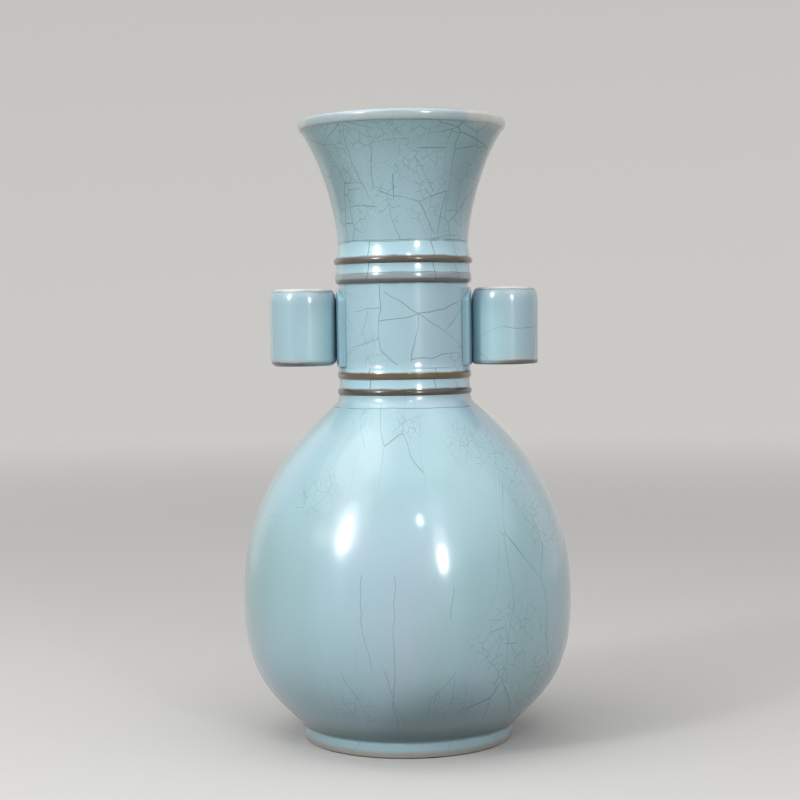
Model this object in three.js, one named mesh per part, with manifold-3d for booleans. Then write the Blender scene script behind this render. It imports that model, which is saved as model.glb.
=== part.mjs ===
// A stoneware vase: globe belly on a low foot ring, straight neck between two pairs of raised strings,
// trumpet mouth with a rolled lip, and two upright tubular ears seated on the sides of the neck.
// It is built as a potter builds it, from thrown sections luted end to end and applied pieces.
// Millimetres, +Z up. The origin is the centre of the circle on which the foot stands.
import * as THREE from "three";
import { mergeVertices } from "three/addons/utils/BufferGeometryUtils.js";
import Module from "manifold-3d";

// Foot ring
const FOOT_HEIGHT = 7.5;
const FOOT_BASE_RADIUS = 43.7;
const FOOT_FLARE = 1.6; // how far the ring's outer wall leans out on its way up
const FOOT_WALL = 5.6;
const FOOT_ROUNDING = 1.3; // of both edges of the standing face

// Belly, thrown in two halves that meet at its widest line
const BELLY_RADIUS = 69.1;
const BELLY_WALL = 5;
const LOWER_BELLY_HEIGHT = 52.5;
const UPPER_BELLY_HEIGHT = 79.1; // from the widest line to where the shoulder turns up
const FLOOR_THICKNESS = 5;
const FOOT_CREASE = 0.8; // how far the belly stands out over the top of the foot ring

// Shapes of the belly's curves: slopes, and handle lengths as shares of each half's height
const LOWER_SLOPE = THREE.MathUtils.degToRad(45);
const LOWER_START = 0.34;
const LOWER_FULLNESS = 0.61;
const UPPER_FULLNESS = 0.474;
const SHOULDER_SLOPE = THREE.MathUtils.degToRad(42);
const SHOULDER_START = 0.354;

// Neck
const NECK_RADIUS = 27.4;
const NECK_WALL = 4.6;
const SHOULDER_TURN_WIDTH = 4; // the hollow turn from the shoulder into the neck
const SHOULDER_TURN_HEIGHT = 6.1;
const COLLAR_HEIGHT = 0.95; // straight end of the upper belly, where the neck is luted on
const COLLAR_STAND = 0.4; // how far the collar stands out from the neck's wall

// Mouth
const MOUTH_HEIGHT = 58.3;
const MOUTH_WALL = 4.4; // just under the lip
const FLARE_START = 0.34; // handles of the flare, as shares of its height
const FLARE_END = 0.27;
const FLARE_BASE_SLOPE = THREE.MathUtils.degToRad(86.5);
const FLARE_SLOPE = THREE.MathUtils.degToRad(54.5); // just under the lip
const LIP_RADIUS = 43.7;
const LIP_HEIGHT = 6.1;
const LIP_OVERHANG = 1.8; // how far the roll stands out from the flare below it
const LIP_CREST_INSET = 2.4; // from the widest line of the roll to its crest
const LIP_SWELL = 2.6; // how far the widest line lies below the crest

// Strings: rolls of clay let into a shallow groove, each a bead below with a tail smoothed upwards
const GROOVE_DEPTH = 1;
const JOINT_COVER = 2.4; // of the joint between neck and mouth, by the topmost bead
const COLLAR_COVER = 1; // of the joint between shoulder and neck, by the lowest bead
const TAIL_EDGE = 0.25; // how far a tail's thin end still stands out from the neck
const LOWER_BEAD = { bead: 2.4, stand: 0.95, tail: 4, lift: 0.35 };
const LOWER_MIDDLE_BEAD = { bead: 2.3, stand: 0.75, tail: 2.25, lift: 0.5 };
const UPPER_MIDDLE_BEAD = { bead: 4.2, stand: 1.35, tail: 3.5, lift: 1.05 };
const UPPER_BEAD = { bead: 2.8, stand: 1.8, tail: 6.2, lift: 1 };

// Ears: upright open tubes, each on a curved saddle that fits the neck behind and the tube in front
const EAR_RADIUS = 13.9;
const EAR_WALL = 4.6;
const EAR_HEIGHT = 32.4;
const EAR_TOP_ROUNDING = 3;
const EAR_BOTTOM_ROUNDING = 1.8;
const EAR_BORE_ROUNDING = 1.2;
const EAR_ROOM_BELOW = 0.8; // between the lower strings and the ear
const EAR_ROOM_ABOVE = 1.7; // between the ear and the upper strings
const SADDLE_HALF_WIDTH = 13.6;
const SADDLE_WEB = 0.6; // its least thickness, between neck and ear
const SADDLE_CROWN = 1.6; // how far its face falls back towards the upright edges
const SADDLE_ARCH = 5; // how far its top edge falls towards the upright edges
const EAR_SEAT_DEPTH = 0.3; // of the trough that the ear lies in
const SADDLE_OVERRUN = 0.3; // how far the saddle rises above the ear
const SADDLE_EDGE = 1.4; // rounding of the edges above and below
const SADDLE_SIDE_ROUNDING = 1.6; // rounding of the upright edges

const LUTE = 0.3; // the layer of slip between two pieces that aren't joined on a flat face

// Fineness of the surfaces
const ROUND_STEPS = 48;
const EAR_STEPS = 32;

// Levels, each built on the one below
const BELLY_LINE = FOOT_HEIGHT + LOWER_BELLY_HEIGHT;
const SHOULDER_TOP = BELLY_LINE + UPPER_BELLY_HEIGHT;
const COLLAR_BASE = SHOULDER_TOP + SHOULDER_TURN_HEIGHT;
const NECK_BASE = COLLAR_BASE + COLLAR_HEIGHT;
const stringHeight = (string) => string.bead + string.tail;
const LOWER_BEAD_BASE = NECK_BASE - COLLAR_COVER;
const LOWER_MIDDLE_BASE = LOWER_BEAD_BASE + stringHeight(LOWER_BEAD) + LUTE;
const LOWER_PAIR_TOP = LOWER_MIDDLE_BASE + stringHeight(LOWER_MIDDLE_BEAD);
const EAR_BASE = LOWER_PAIR_TOP + EAR_ROOM_BELOW;
const EAR_TOP = EAR_BASE + EAR_HEIGHT;
const UPPER_MIDDLE_BASE = EAR_TOP + EAR_ROOM_ABOVE;
const UPPER_BEAD_BASE = UPPER_MIDDLE_BASE + stringHeight(UPPER_MIDDLE_BEAD) + LUTE;
const UPPER_PAIR_TOP = UPPER_BEAD_BASE + stringHeight(UPPER_BEAD);
const MOUTH_BASE = UPPER_BEAD_BASE + JOINT_COVER;
const RIM = MOUTH_BASE + MOUTH_HEIGHT;

// Radii that follow from the sizes above
const FOOT_TOP_RADIUS = FOOT_BASE_RADIUS + FOOT_FLARE;
const FOOT_BORE = FOOT_BASE_RADIUS - FOOT_WALL;
const BORE_RADIUS = NECK_RADIUS - NECK_WALL;
const GROOVE_RADIUS = NECK_RADIUS - GROOVE_DEPTH;
const COLLAR_RADIUS = NECK_RADIUS + COLLAR_STAND;
const EAR_BORE = EAR_RADIUS - EAR_WALL;
const EAR_OFFSET = NECK_RADIUS + LUTE + SADDLE_WEB + LUTE + EAR_RADIUS;
const SADDLE_FACE = NECK_RADIUS + LUTE + SADDLE_WEB + EAR_SEAT_DEPTH;

const glaze = new THREE.MeshStandardMaterial({ color: 0x9dc0c7, roughness: 0.18, metalness: 0 });
const thinGlaze = new THREE.MeshStandardMaterial({ color: 0x7d6b5c, roughness: 0.3, metalness: 0 });
const footGlaze = new THREE.MeshStandardMaterial({ color: 0x8fb2b8, roughness: 0.25, metalness: 0 });

const ROUND_HANDLE = 0.5523; // the handle that makes a cubic curve a quarter circle, as a share of its radius

const at = (radius, height) => new THREE.Vector2(radius, height);

// Points along a cubic curve between two points, leaving the first and reaching the last along the handles.
function curve(start, leave, arrive, end, steps) {
  return new THREE.CubicBezierCurve(start, leave, arrive, end).getPoints(steps);
}

// A round turn from one point to another, like a quarter of an ellipse drawn into the corner between them.
function roundTurn(start, corner, end, steps) {
  const leave = start.clone().lerp(corner, ROUND_HANDLE);
  return curve(start, leave, end.clone().lerp(corner, ROUND_HANDLE), end, steps);
}

// The handle that leaves a point at a slope above the horizontal, towards the axis where sideways is -1.
function handle(point, slope, length, sideways = 1) {
  return at(point.x + sideways * length * Math.cos(slope), point.y + length * Math.sin(slope));
}

// A wall's inner face: its outer points moved inwards along their normals, by a thickness that changes
// evenly. The wall starts upright and ends at a slope above the horizontal, upright unless one is given.
function innerFace(outer, wallBelow, wallAbove, endSlope = Math.PI / 2) {
  const last = outer.length - 1;
  return outer.map((point, i) => {
    let along = at(0, 1);
    if (i === last) along = at(Math.cos(endSlope), Math.sin(endSlope));
    else if (i > 0) along = outer[i + 1].clone().sub(outer[i - 1]).normalize();
    const wall = THREE.MathUtils.lerp(wallBelow, wallAbove, i / last);
    return at(point.x - along.y * wall, point.y + along.x * wall);
  });
}

// The part of a rising line of points above a height, starting exactly on it.
function partAbove(points, height) {
  const first = points.findIndex((point) => point.y > height);
  const below = points[first - 1];
  const share = (height - below.y) / (points[first].y - below.y);
  return [below.clone().lerp(points[first], share), ...points.slice(first)];
}

// A quarter circle that rounds an edge; its ends are counted in quarter turns from the outward direction.
function quarter(centreRadius, centreHeight, radius, fromQuarter, toQuarter, steps = 3) {
  return Array.from({ length: steps + 1 }, (_, i) => {
    const angle = THREE.MathUtils.lerp(fromQuarter, toQuarter, i / steps) * (Math.PI / 2);
    return at(centreRadius + radius * Math.cos(angle), centreHeight + radius * Math.sin(angle));
  });
}

// A profile of radius and height turned about the vertical axis; the profile runs up outside and down inside.
function turned(profile, steps = ROUND_STEPS) {
  return new THREE.LatheGeometry(profile, steps).rotateX(Math.PI / 2);
}

function closedRing(profile, steps) {
  return turned([...profile, profile[0].clone()], steps);
}

function footRing() {
  return closedRing([
    ...quarter(FOOT_BORE + FOOT_ROUNDING, FOOT_ROUNDING, FOOT_ROUNDING, -2, -1, 2),
    ...quarter(FOOT_BASE_RADIUS - FOOT_ROUNDING, FOOT_ROUNDING, FOOT_ROUNDING, -1, 0),
    at(FOOT_TOP_RADIUS, FOOT_HEIGHT),
    at(FOOT_BORE, FOOT_HEIGHT),
  ]);
}

function lowerBelly() {
  const foot = at(FOOT_TOP_RADIUS + FOOT_CREASE, FOOT_HEIGHT);
  const widest = at(BELLY_RADIUS, BELLY_LINE);
  const outer = curve(
    foot,
    handle(foot, LOWER_SLOPE, LOWER_START * LOWER_BELLY_HEIGHT),
    at(BELLY_RADIUS, BELLY_LINE - LOWER_FULLNESS * LOWER_BELLY_HEIGHT),
    widest,
    9,
  );
  const floorTop = FOOT_HEIGHT + FLOOR_THICKNESS;
  const inner = partAbove(innerFace(outer, BELLY_WALL, BELLY_WALL), floorTop);
  return turned([at(0, FOOT_HEIGHT), ...outer, ...inner.reverse(), at(0, floorTop)]);
}

function upperBelly() {
  const widest = at(BELLY_RADIUS, BELLY_LINE);
  const shoulder = at(NECK_RADIUS + SHOULDER_TURN_WIDTH, SHOULDER_TOP);
  const dome = curve(
    widest,
    at(BELLY_RADIUS, BELLY_LINE + UPPER_FULLNESS * UPPER_BELLY_HEIGHT),
    handle(shoulder, -SHOULDER_SLOPE, SHOULDER_START * UPPER_BELLY_HEIGHT),
    shoulder,
    10,
  );
  const turnHandle = SHOULDER_TURN_HEIGHT / 2;
  const collar = at(COLLAR_RADIUS, COLLAR_BASE);
  const turn = curve(
    shoulder,
    handle(shoulder, SHOULDER_SLOPE, turnHandle, -1),
    at(COLLAR_RADIUS, COLLAR_BASE - turnHandle),
    collar,
    4,
  );
  const outer = [...dome, ...turn.slice(1)];
  const inner = innerFace([...outer, at(NECK_RADIUS, NECK_BASE)], BELLY_WALL, NECK_WALL);
  return closedRing([
    ...outer.slice(0, -1),
    at(COLLAR_RADIUS, LOWER_BEAD_BASE - LUTE),
    at(GROOVE_RADIUS, LOWER_BEAD_BASE - LUTE),
    at(GROOVE_RADIUS, NECK_BASE),
    at(BORE_RADIUS, NECK_BASE),
    ...inner.reverse().slice(1),
  ]);
}

function neck() {
  return closedRing([
    at(GROOVE_RADIUS, NECK_BASE),
    at(GROOVE_RADIUS, LOWER_PAIR_TOP + LUTE),
    at(NECK_RADIUS, LOWER_PAIR_TOP + LUTE),
    at(NECK_RADIUS, UPPER_MIDDLE_BASE - LUTE),
    at(GROOVE_RADIUS, UPPER_MIDDLE_BASE - LUTE),
    at(GROOVE_RADIUS, MOUTH_BASE),
    at(BORE_RADIUS, MOUTH_BASE),
    at(BORE_RADIUS, NECK_BASE),
  ]);
}

function mouth() {
  const flareBase = at(NECK_RADIUS, UPPER_PAIR_TOP + LUTE);
  const flareTop = at(LIP_RADIUS - LIP_OVERHANG, RIM - LIP_HEIGHT);
  const flareHeight = flareTop.y - flareBase.y;
  const flare = curve(
    flareBase,
    handle(flareBase, FLARE_BASE_SLOPE, FLARE_START * flareHeight),
    handle(flareTop, FLARE_SLOPE + Math.PI, FLARE_END * flareHeight),
    flareTop,
    7,
  );
  const outer = [at(NECK_RADIUS, MOUTH_BASE), ...flare];
  const inner = innerFace(outer, NECK_WALL, MOUTH_WALL, FLARE_SLOPE);
  const inside = inner[inner.length - 1];
  const widest = at(LIP_RADIUS, RIM - LIP_SWELL);
  const crest = at(LIP_RADIUS - LIP_CREST_INSET, RIM);
  const swell = roundTurn(flareTop, at(LIP_RADIUS, flareTop.y), widest, 3);
  const roll = roundTurn(widest, at(LIP_RADIUS, RIM), crest, 3);
  const fall = roundTurn(crest, at(inside.x, RIM), inside, 3);
  return closedRing([
    at(GROOVE_RADIUS, MOUTH_BASE),
    at(GROOVE_RADIUS, UPPER_PAIR_TOP + LUTE),
    ...flare,
    ...swell.slice(1),
    ...roll.slice(1),
    ...fall.slice(1, -1),
    ...inner.reverse(),
  ]);
}

// One string: a rounded bead with a sharp underside, whose tail thins out upwards to the neck's wall.
function string(base, { bead, stand, tail, lift }) {
  const seat = GROOVE_RADIUS + LUTE;
  const crest = at(NECK_RADIUS + stand, base + bead / 2);
  const beadTop = at(NECK_RADIUS + lift, base + bead);
  return closedRing([
    at(seat, base),
    ...roundTurn(at(NECK_RADIUS, base), at(crest.x, base), crest, 2),
    ...roundTurn(crest, at(crest.x, beadTop.y), beadTop, 2).slice(1),
    at(NECK_RADIUS + TAIL_EDGE, beadTop.y + tail),
    at(seat, beadTop.y + tail),
  ]);
}

function earTube() {
  return closedRing(
    [
      ...quarter(EAR_BORE + EAR_BORE_ROUNDING, EAR_BORE_ROUNDING, EAR_BORE_ROUNDING, -2, -1, 2),
      ...quarter(EAR_RADIUS - EAR_BOTTOM_ROUNDING, EAR_BOTTOM_ROUNDING, EAR_BOTTOM_ROUNDING, -1, 0),
      ...quarter(EAR_RADIUS - EAR_TOP_ROUNDING, EAR_HEIGHT - EAR_TOP_ROUNDING, EAR_TOP_ROUNDING, 0, 1),
      ...quarter(EAR_BORE + EAR_BORE_ROUNDING, EAR_HEIGHT - EAR_BORE_ROUNDING, EAR_BORE_ROUNDING, 1, 2, 2),
    ],
    EAR_STEPS,
  );
}

const wasm = await Module();
wasm.setup();

function solid(geometry) {
  geometry.deleteAttribute("normal");
  geometry.deleteAttribute("uv");
  const merged = mergeVertices(geometry);
  return new wasm.Manifold(
    new wasm.Mesh({
      numProp: 3,
      vertProperties: merged.getAttribute("position").array,
      triVerts: new Uint32Array(merged.index.array),
    }),
  );
}

function geometryOf(body) {
  const { vertProperties, triVerts } = body.getMesh();
  const geometry = new THREE.BufferGeometry();
  geometry.setAttribute("position", new THREE.BufferAttribute(vertProperties, 3));
  geometry.setIndex(new THREE.BufferAttribute(triVerts, 1));
  geometry.computeVertexNormals();
  return geometry;
}

function upright(radius, height, steps) {
  return new THREE.CylinderGeometry(radius, radius, height, steps).rotateX(Math.PI / 2);
}

// The radius of an arc that rises by a given height over a given half width.
const arcRadius = (halfWidth, rise) => (halfWidth ** 2 + rise ** 2) / (2 * rise);

// A block with an arched top, lying from the neck's axis outwards, to which a saddle's plate is trimmed.
function archedBlock(bottom, top, thickness) {
  const radius = arcRadius(SADDLE_HALF_WIDTH, SADDLE_ARCH);
  const outline = new THREE.Shape();
  outline.absarc(0, top - radius, radius, 0, Math.PI);
  outline.lineTo(-radius, bottom - SADDLE_EDGE);
  outline.lineTo(radius, bottom - SADDLE_EDGE);
  const block = new THREE.ExtrudeGeometry(outline, {
    depth: thickness,
    bevelEnabled: false,
    curveSegments: 10,
  });
  return block.rotateX(Math.PI / 2).rotateZ(Math.PI / 2);
}

// A crowned plate with rounded edges and an arched top, hollowed behind to the neck's curve and in front
// to the ear's, in the ear's frame. Its plan is drawn smaller by the rounding that the bevel adds to it.
function saddle() {
  const height = EAR_HEIGHT + EAR_ROOM_BELOW - LUTE + SADDLE_OVERRUN;
  const bottom = LUTE - EAR_ROOM_BELOW;
  const faceRadius = arcRadius(SADDLE_HALF_WIDTH, SADDLE_CROWN);
  const faceCentre = SADDLE_FACE - faceRadius;
  const cornerOffset = SADDLE_HALF_WIDTH - SADDLE_SIDE_ROUNDING;
  const cornerReach = faceRadius - SADDLE_SIDE_ROUNDING;
  const reach = Math.asin(cornerOffset / cornerReach);
  const cornerDepth = faceCentre + cornerReach * Math.cos(reach);
  const corner = SADDLE_SIDE_ROUNDING - SADDLE_EDGE;
  const side = SADDLE_HALF_WIDTH - SADDLE_EDGE;
  const plan = new THREE.Shape();
  plan.moveTo(0, -side);
  plan.absarc(cornerDepth, -cornerOffset, corner, -Math.PI / 2, -reach);
  plan.absarc(faceCentre, 0, faceRadius - SADDLE_EDGE, -reach, reach);
  plan.absarc(cornerDepth, cornerOffset, corner, reach, Math.PI / 2);
  plan.lineTo(0, side);
  const plate = new THREE.ExtrudeGeometry(plan, {
    depth: height - 2 * SADDLE_EDGE,
    bevelThickness: SADDLE_EDGE,
    bevelSize: SADDLE_EDGE,
    bevelSegments: 2,
    curveSegments: 3,
  }).translate(0, 0, bottom + SADDLE_EDGE);
  const cutHeight = 4 * height;
  const neckCut = upright(NECK_RADIUS + LUTE, cutHeight, ROUND_STEPS);
  const earCut = upright(EAR_RADIUS + LUTE, cutHeight, EAR_STEPS).translate(EAR_OFFSET, 0, 0);
  const arched = solid(plate).intersect(solid(archedBlock(bottom, bottom + height, EAR_OFFSET)));
  return geometryOf(arched.subtract(solid(neckCut)).subtract(solid(earCut)));
}

const vase = new THREE.Group();
vase.name = "vase";

function place(name, geometry, material, parent = vase) {
  const mesh = new THREE.Mesh(geometry, material);
  mesh.name = name;
  parent.add(mesh);
  return mesh;
}

place("foot_ring", footRing(), footGlaze);
place("belly_lower", lowerBelly(), glaze);
place("belly_upper", upperBelly(), glaze);
place("neck", neck(), glaze);
place("mouth", mouth(), glaze);
place("string_lower", string(LOWER_BEAD_BASE, LOWER_BEAD), thinGlaze);
place("string_lower_middle", string(LOWER_MIDDLE_BASE, LOWER_MIDDLE_BEAD), thinGlaze);
place("string_upper_middle", string(UPPER_MIDDLE_BASE, UPPER_MIDDLE_BEAD), thinGlaze);
place("string_upper", string(UPPER_BEAD_BASE, UPPER_BEAD), thinGlaze);

for (const [side, turn] of [["right", 0], ["left", Math.PI]]) {
  const ear = new THREE.Group();
  ear.position.z = EAR_BASE;
  ear.rotation.z = turn;
  vase.add(ear);
  place(`saddle_${side}`, saddle(), glaze, ear);
  place(`ear_${side}`, earTube(), glaze, ear).position.x = EAR_OFFSET;
}

export default vase;
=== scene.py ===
from collections.abc import Sequence
from dataclasses import dataclass
import math

import bpy
from mathutils import Euler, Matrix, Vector
from mathutils.geometry import interpolate_bezier


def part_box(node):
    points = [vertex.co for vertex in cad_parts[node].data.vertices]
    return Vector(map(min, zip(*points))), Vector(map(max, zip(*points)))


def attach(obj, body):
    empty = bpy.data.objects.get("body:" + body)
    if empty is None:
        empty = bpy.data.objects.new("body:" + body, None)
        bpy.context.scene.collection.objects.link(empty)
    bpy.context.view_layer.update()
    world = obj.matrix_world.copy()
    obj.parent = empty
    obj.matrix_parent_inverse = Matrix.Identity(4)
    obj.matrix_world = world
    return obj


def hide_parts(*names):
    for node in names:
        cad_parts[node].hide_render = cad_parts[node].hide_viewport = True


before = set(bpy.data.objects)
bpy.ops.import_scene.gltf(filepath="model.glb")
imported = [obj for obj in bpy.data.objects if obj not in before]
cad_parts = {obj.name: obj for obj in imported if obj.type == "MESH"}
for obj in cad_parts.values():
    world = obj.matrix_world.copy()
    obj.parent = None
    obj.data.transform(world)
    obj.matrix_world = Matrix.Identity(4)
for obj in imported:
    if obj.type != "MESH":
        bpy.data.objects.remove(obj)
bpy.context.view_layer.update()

bl_info = {
    "name": "Eared vase with crackle glaze",
    "version": (1, 0, 0),
    "blender": (4, 5, 0),
    "location": "View3D > Sidebar > Vase",
    "description": "Turns and glazes a tubular-eared vase round its built frame, and sets it in a studio",
    "category": "Object",
}

MM = 0.001
WELD = 0.002 * MM
ROUND_HANDLE = 0.5523  # the handle that makes a curve a quarter circle, as a share of its radius

# Levels and radii of the built pieces, which the finished ones share
FOOT_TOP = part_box("foot_ring")[1].z
FOOT_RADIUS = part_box("foot_ring")[1].x
BELLY_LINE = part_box("belly_lower")[1].z
BELLY_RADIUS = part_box("belly_lower")[1].x
NECK_BASE, NECK_TOP = (corner.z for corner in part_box("neck"))
NECK_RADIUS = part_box("neck")[1].x
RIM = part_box("mouth")[1].z
LIP_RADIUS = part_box("mouth")[1].x
STRINGS = ("string_lower", "string_lower_middle", "string_upper_middle", "string_upper")
STRING_LOW = {name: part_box(name)[0].z for name in STRINGS}
STRING_HIGH = {name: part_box(name)[1].z for name in STRINGS}
STRING_CREST = {name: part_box(name)[1].x for name in STRINGS}
EAR_LOW, EAR_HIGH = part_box("ear_right")
EAR_CENTRE = (EAR_LOW.x + EAR_HIGH.x) / 2
EAR_RADIUS = EAR_HIGH.y
SADDLE_LOW, SADDLE_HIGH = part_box("saddle_right")
SIDES = {"left": -1, "right": 1}

# Places on the glaze: azimuth in degrees, which grows to the right from the front, then height in millimetres.
# Nets and calm spots end with their reach in millimetres, and a single crack has two places.
BELLY_NETS = (
    (58, 122, 30), (62, 98, 26), (34, 126, 18), (2, 133, 12), (-30, 134, 12), (-38, 108, 15),
    (38, 46, 26), (50, 28, 24), (16, 26, 15), (-20, 22, 12), (118, 100, 26), (-125, 60, 30),
)
BELLY_CALMS = ((-42, 75, 46), (0, 84, 44), (0, 40, 34), (26, 98, 20))
BELLY_CRACKS = (
    (-34, 140, -21, 125), (-4, 78, -5, 32), (-5, 32, -5, 15), (-15, 77, -15, 56), (-15, 56, -12, 41),
    (16, 39, 8, 28), (8, 28, 7, 17), (16, 36, 14, 17), (-23, 39, -15, 17), (-29, 35, -30, 19),
    (-8, 40, -2, 17), (15, 72, 14, 59), (-6, 140, 0, 135), (0, 135, -7, 131), (0, 135, 12, 137),
)
NECK_NETS = ((-32, 164, 9), (52, 161, 6))
NECK_CALMS = ((-12, 173, 34), (26, 173, 34))
NECK_CRACKS = (
    (-21, 191, -22, 164), (-17, 188, 14, 178), (-22, 176, 14, 178), (14, 178, 59, 184), (14, 178, 36, 172),
    (36, 172, 62, 164), (14, 178, 6, 159), (6, 160, 58, 163), (-49, 180, -21, 181), (-51, 165, -21, 169),
    (36, 172, 61, 181), (-32, 180, -39, 170), (-22, 164, -7, 158),
)
MOUTH_NETS = ((0, 246, 20), (-34, 242, 14), (30, 226, 10))
MOUTH_CALMS = ((0, 220, 30), (0, 240, 26))
MOUTH_CRACKS = (
    (-19, 228, 13, 224), (13, 224, 35, 228), (-12, 225, -2, 208), (13, 224, 29, 211), (-7, 225, -6, 235),
    (9, 242, 24, 227), (-36, 253, -36, 238), (-36, 238, -27, 225), (10, 245, 27, 245), (27, 209, 55, 211),
    (-46, 223, -20, 222), (-19, 247, 4, 248), (-18, 248, -23, 229), (35, 228, 31, 210),
)
EAR_CRACKS = {"left": (), "right": ((-52, 168.5, -10, 172.5), (-10, 172.5, 61, 173))}


def length(name, description, millimetres):
    return bpy.props.FloatProperty(
        name=name, description=description, default=millimetres * MM, unit="LENGTH", precision=5
    )


def angle(name, description, degrees):
    return bpy.props.FloatProperty(
        name=name, description=description, default=math.radians(degrees), subtype="ANGLE"
    )


def share(name, description, value):
    return bpy.props.FloatProperty(name=name, description=description, default=value, subtype="FACTOR")


def passes(name, description, value):
    return bpy.props.IntProperty(name=name, description=description, default=value, min=0)


def group(name, kind):
    return bpy.props.PointerProperty(name=name, type=kind)


def colour(name, description, red, green, blue):
    return bpy.props.FloatVectorProperty(
        name=name, description=description, default=(red, green, blue), subtype="COLOR", min=0, max=1
    )


class FootSizes(bpy.types.PropertyGroup):
    """Sizes of the foot ring and of the base inside it"""

    wall: length("Wall", "Width of the foot ring", 5.6)
    flare: length("Flare", "How far the foot ring leans out on its way up", 1.6)
    rounding: length("Rounding", "Rounding of the foot's standing edges", 1.3)
    hollow: length("Hollow", "How far the base is hollowed at its middle", 0.6)
    hollow_margin: length("Hollow margin", "Flat edge of the base beside the foot ring", 1.8)


class BellySizes(bpy.types.PropertyGroup):
    """Sizes and curves of the belly that the built pieces' boxes don't give"""

    wall: length("Wall", "Thickness of the belly's wall", 5)
    floor: length("Floor", "Thickness of the vase's floor", 5)
    crease: length("Crease", "How far the belly stands out over the foot ring", 0.8)
    crease_turn: length("Crease turn", "Rounding of the belly's edge over the foot ring", 0.7)
    lower_slope: angle("Lower slope", "Slope of the belly's wall above the foot", 45)
    lower_start: share("Lower start", "Handle at the foot, as a share of the lower half's height", 0.34)
    lower_fullness: share("Lower fullness", "Handle below the widest line, as the same share", 0.61)
    upper_fullness: share("Upper fullness", "Handle above the widest line, as a share of the upper half", 0.474)
    shoulder_slope: angle("Shoulder slope", "Slope at the shoulder's end", 42)
    shoulder_start: share("Shoulder start", "Handle at the shoulder's end, as a share of the upper half", 0.354)
    turn_width: length("Turn width", "Width of the hollow turn from shoulder to neck", 4)
    turn_height: length("Turn height", "Height of that turn", 6.1)
    collar_height: length("Collar height", "Height of the straight end over the turn", 0.95)
    collar_stand: length("Collar stand", "How far the collar stands out from the neck", 0.4)
    bowl_turn: share("Bowl turn", "How roundly the inner wall runs into the floor", 0.5)
    collar_crack: length("Collar crack", "How far below the neck a crack follows the collar", 6)
    pattern_radius: length("Pattern radius", "Radius at which the belly's crackle has its true width", 60)


class NeckSizes(bpy.types.PropertyGroup):
    """Sizes of the neck and of the grooves that the strings lie in"""

    wall: length("Wall", "Thickness of the neck's wall", 4.6)
    groove: length("Groove", "Depth of the grooves under the strings", 1)
    swell: length("Swell", "How far the glaze builds up on the string below the neck", 0.35)
    swell_height: length("Swell height", "How far up the neck it builds up", 3.5)
    bond: length("Bond", "How far a piece is sunk into the slip under it", 0.3)


class MouthSizes(bpy.types.PropertyGroup):
    """Sizes of the flared mouth and its rolled lip"""

    wall: length("Wall", "Thickness of the wall under the lip", 4.4)
    base_slope: angle("Base slope", "Slope of the flare where it leaves the neck", 86.5)
    flare_start: share("Flare start", "Handle at the flare's base, as a share of its height", 0.34)
    flare_slope: angle("Flare slope", "Slope of the flare under the lip", 54.5)
    flare_end: share("Flare end", "Handle under the lip, as a share of the flare's height", 0.27)
    lip_height: length("Lip height", "Height of the rolled lip", 4.8)
    lip_overhang: length("Lip overhang", "How far the lip stands out from the flare below it", 1.2)
    lip_inset: length("Lip inset", "From the lip's widest line to its crest", 2.2)
    lip_swell: length("Lip swell", "How far the lip's widest line lies below its crest", 1.8)
    lip_middle: length("Lip middle", "How far the middle of the lip's pale band lies below its crest", 2)
    pattern_radius: length("Pattern radius", "Radius at which the mouth's crackle has its true width", 32)


class EarSizes(bpy.types.PropertyGroup):
    """Sizes of the tubular ears and the saddles that carry them"""

    wall: length("Wall", "Thickness of the tube's wall", 4.6)
    top_width: length("Top rounding width", "How far in the tube's top starts to round over", 3)
    top_height: length("Top rounding height", "How far down the rounding of the top reaches", 6.5)
    top_rise: share("Top rise", "How far up the side keeps its direction, as a share of that height", 0.6)
    top_crown: share("Top crown", "How far out the top keeps its direction, as a share of that width", 0.7)
    left_foot: length("Left foot rounding", "Rounding of the left tube's lower edge", 3)
    right_foot: length("Right foot rounding", "Rounding of the right tube's lower edge", 1.2)
    bore_rounding: length("Bore rounding", "Rounding of the bore's edges", 1.4)
    saddle_crest: length("Saddle crest", "How far the saddle's middle stands out from the neck", 1.2)
    saddle_crown: length("Saddle crown", "How far its face falls back towards the upright edges", 1.6)
    saddle_arch: length("Saddle arch", "How far its top edge falls towards the upright edges", 5)
    saddle_grain: length("Saddle grain", "Width of the mesh's faces on the saddle", 0.4)
    saddle_softening: passes("Saddle softening", "How many passes round the saddle's free edges", 26)
    saddle_root: share("Saddle root", "How deep in the neck's wall its blank starts, as a share of it", 0.9)


class SurfaceSizes(bpy.types.PropertyGroup):
    """Sizes of the clay's unevenness and of the glaze's mottling"""

    wave: length("Wave", "Width of the clay's slight waves", 34)
    depth: length("Depth", "Depth of the clay's waves", 0.34)
    mottle: length("Mottle", "Width of the greener patches", 34)
    cloud: length("Cloud", "Width of the greyer patches", 46)
    peel: length("Peel", "Width of the ripples in the glaze", 9)
    ripple: length("Ripple", "Depth of the ripples in the glaze", 0.02)
    ragged: length("Ragged", "How far a colour's edge wanders", 0.5)
    ragged_width: length("Ragged width", "How soon it wanders", 7)


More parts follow.
